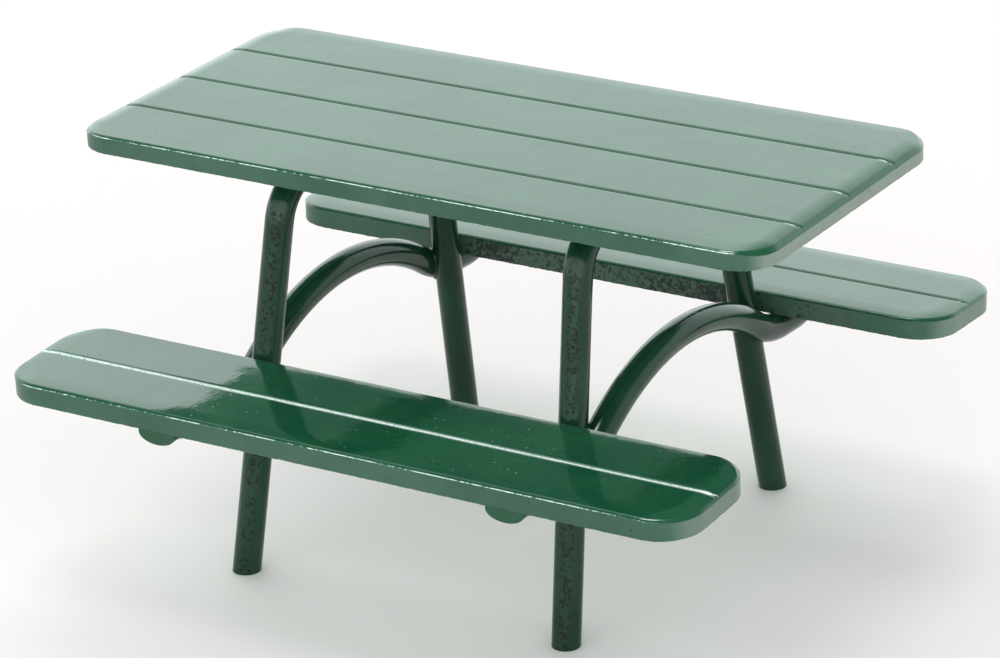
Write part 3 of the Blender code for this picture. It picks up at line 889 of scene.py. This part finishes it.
# The weld's line is searched for out to this share of the tube's radius across the leg, and
# in other directions further, up to this share divided by the second number.
SEARCH_REACH = 0.9
SEARCH_SLANT = 0.45
SEARCH_STEPS = 24


def distance_to_arch(point, sign):
    """Distance of a point from the surface of the bearer on one side."""
    nearest = None
    flat = Vector((point.y, point.z))
    for (y, z, _, shape), (next_y, next_z, _, _) in zip(ARCH, ARCH[1:]):
        start, run = Vector((y, z)), Vector((next_y - y, next_z - z))
        share = min(1.0, max(0.0, (flat - start).dot(run) / run.length_squared))
        gap = (flat - start - run * share).length
        if nearest is None or gap < nearest[0]:
            nearest = (gap, shape[0])
    across = point.x - sign * ARCH_X
    return sqrt(nearest[0] ** 2 + across ** 2) - nearest[1]


def crossing_height(sign, seat_sign):
    """Height where the bearer's centreline passes the leg's, seen from the end."""
    foot, axis = leg_axis(sign, seat_sign)
    for (y, z, _, _), (next_y, next_z, _, _) in zip(ARCH, ARCH[1:]):
        leg = foot + axis * (z / axis.z)
        next_leg = foot + axis * (next_z / axis.z)
        if (y - leg.y) * (next_y - next_leg.y) <= 0:
            return z
    return ARCH_PEAK


def weld_path(sign, seat_sign):
    """The closed line where the leg's surface meets the bearer's."""
    foot, axis = leg_axis(sign, seat_sign)
    outward = leg_plane(sign)[2] * sign
    across = axis.cross(outward).normalized()
    middle = foot + axis * (crossing_height(sign, seat_sign) / axis.z)

    def on_leg(turn, reach):
        sideways = reach * cos(turn)
        rise = sqrt(max(0.0, TUBE_RADIUS ** 2 - sideways ** 2))
        return middle + across * sideways + axis * (reach * sin(turn)) + outward * rise

    path = []
    for step in range(WELD_STEPS):
        turn = 2 * pi * step / WELD_STEPS
        low, high = 0.0, SEARCH_REACH * TUBE_RADIUS / max(abs(cos(turn)), SEARCH_SLANT)
        for _ in range(SEARCH_STEPS):
            reach = (low + high) / 2
            if distance_to_arch(on_leg(turn, reach), sign) < 0:
                low = reach
            else:
                high = reach
        path.append(on_leg(turn, low))
    return path


def make_weld(side, seat, sign, seat_sign):
    """A paint-filled weld bead with slight ripples round one crossing."""
    path = weld_path(sign, seat_sign)
    middle = sum(path, Vector()) / len(path)
    count = len(path)
    rings = []
    for index, point in enumerate(path):
        travel = (path[(index + 1) % count] - path[index - 1]).normalized()
        away = (point - middle).normalized()
        normal = travel.cross(away).normalized()
        away = normal.cross(travel)
        ripple = WELD_RIPPLE_SHARE * sin(index * 2 * pi * WELD_RIPPLES / count)
        radius = WELD_RADIUS * (1 + ripple + WELD_UNEVENNESS * noise.noise(point * 160))
        rings.append(section(point, away, normal, radius, WELD_SIDES))
    bm = bmesh.new()
    add_rings(bm, rings + [rings[0]])
    bmesh.ops.remove_doubles(bm, verts=bm.verts, dist=MERGE_DISTANCE)
    weld = mesh_object(f"{side}_{seat}_weld_bead", bm, FRAME_PAINT)
    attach(weld, "root")


# ------------------------------------------------------------ plates and screws

def dress_hidden_steel():
    """Paint the design's own plates and screws, which show as they are."""
    for name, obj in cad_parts.items():
        if name.endswith("_plate"):
            obj.data.materials.clear()
            obj.data.materials.append(FRAME_PAINT)
        elif "_screw_" in name:
            obj.data.materials.clear()
            obj.data.materials.append(ZINC)


# ------------------------------------------------------------ camera and studio

CAMERA_PLACE = Vector((4.038, -6.449, 3.516))
CAMERA_YAW = radians(32.14)
CAMERA_PITCH = radians(-22.39)
CAMERA_ROLL = radians(-2.13)
CAMERA_LENS = 169.2
SENSOR_WIDTH = 36
VIEW_END = 100

FLOOR_REACH = 30
FLOOR_SQUARES = 40
STUDIO_TINT = (0.90, 1.0, 0.985)

# The world's level low down and high up, and the heights between which it changes.
LOW_LEVEL, HIGH_LEVEL = 1.95, 0.32
LEVEL_HEIGHTS = (0.42, 0.74)

# Patches of the world: the direction of the middle, the cosines of the angles at which it
# begins and is full, and its strength.
DIM_RIGHT = ((0.93, 0.37, 0.0), 0.5, 0.95, 0.35)
BRIGHT_PATCHES = (
    ((-0.43, 0.83, 0.357), 0.6, 0.97, 0.22),
    ((-0.56, 0.38, 0.74), 0.84, 0.98, 1.5),
    ((0.45, -0.85, 0.25), 0.45, 0.95, 0.7),
)


def make_camera():
    forward = Vector((-sin(CAMERA_YAW) * cos(CAMERA_PITCH), cos(CAMERA_YAW) * cos(CAMERA_PITCH),
                      sin(CAMERA_PITCH)))
    level = Vector((cos(CAMERA_YAW), sin(CAMERA_YAW), 0))
    upright = level.cross(forward)
    right = level * cos(CAMERA_ROLL) + upright * sin(CAMERA_ROLL)
    up = right.cross(forward)
    data = bpy.data.cameras.new("camera")
    data.lens = CAMERA_LENS
    data.sensor_width = SENSOR_WIDTH
    data.clip_end = VIEW_END
    camera = bpy.data.objects.new("camera", data)
    camera.matrix_world = Matrix((right, up, -forward)).transposed().to_4x4()
    camera.location = CAMERA_PLACE
    bpy.context.scene.collection.objects.link(camera)
    bpy.context.scene.camera = camera


def make_floor():
    bm = bmesh.new()
    bmesh.ops.create_grid(bm, x_segments=FLOOR_SQUARES, y_segments=FLOOR_SQUARES,
                          size=FLOOR_REACH)
    mesh = bpy.data.meshes.new("floor")
    bm.to_mesh(mesh)
    bm.free()
    mesh.materials.append(floor_paper())
    floor = bpy.data.objects.new("floor", mesh)
    bpy.context.scene.collection.objects.link(floor)


def glow(tree, direction, towards, outer, inner, strength):
    """A soft patch of the world around the direction towards, between two cosines."""
    facing = add_node(tree, "ShaderNodeVectorMath", {"operation": "DOT_PRODUCT"}, _0=direction,
                      _1=tuple(Vector(towards).normalized()))
    return ramp(tree, (facing, 1), outer, inner, 0.0, strength)


def make_world():
    """A pale studio: bright low down but dimmer to the right, and darker high up.

    Two soft patches behind the table's left and one in front of its right are brighter.
    """
    world = bpy.data.worlds.new("studio")
    bpy.context.scene.world = world
    world.use_nodes = True
    tree = world.node_tree
    background = tree.nodes["Background"]
    direction = (add_node(tree, "ShaderNodeTexCoord"), 0)
    height = (add_node(tree, "ShaderNodeSeparateXYZ", Vector=direction), 2)
    level = ramp(tree, height, *LEVEL_HEIGHTS, LOW_LEVEL, HIGH_LEVEL)
    undimmed = calc(tree, "SUBTRACT", 1.0, glow(tree, direction, *DIM_RIGHT))
    level = calc(tree, "MULTIPLY", level, undimmed)
    for patch in BRIGHT_PATCHES:
        level = calc(tree, "ADD", level, glow(tree, direction, *patch))
    feed(tree, level, background.inputs["Strength"])
    background.inputs["Color"].default_value = (*STUDIO_TINT, 1)


def soft_sun(name, towards, angle, strength, diffuse=True, glossy=True):
    """An even directional light with a round source of the given angle.

    It may be kept from a surface's matt part or from its gloss.
    """
    data = bpy.data.lights.new(name, "SUN")
    data.angle = angle
    data.energy = strength
    light = bpy.data.objects.new(name, data)
    light.rotation_euler = Vector(towards).to_track_quat("Z", "Y").to_euler()
    data.color = STUDIO_TINT if diffuse else (1, 1, 1)
    light.visible_diffuse = diffuse
    light.visible_glossy = glossy
    bpy.context.scene.collection.objects.link(light)


def make_lights():
    """A soft key overhead, a softer one from behind and a small one for the highlights."""
    soft_sun("overhead", (-0.09, 0, 1), angle=radians(20), strength=0.45)
    soft_sun("behind", (-0.3, 0.6, 0.74), angle=radians(35), strength=0.60, glossy=False)
    soft_sun("overhead_spark", (-0.26, -0.08, 0.96), angle=radians(24), strength=2.4,
             diffuse=False)


# ------------------------------------------------------------ build

make_camera()
make_floor()
make_world()
make_lights()
make_top()
for seat, sign in SEATS:
    make_seat(seat, sign)
for side, sign in SIDES:
    make_leg_frame(side, sign)
    make_bearer(side, sign)
dress_hidden_steel()
bpy.context.scene.view_settings.view_transform = "Standard"
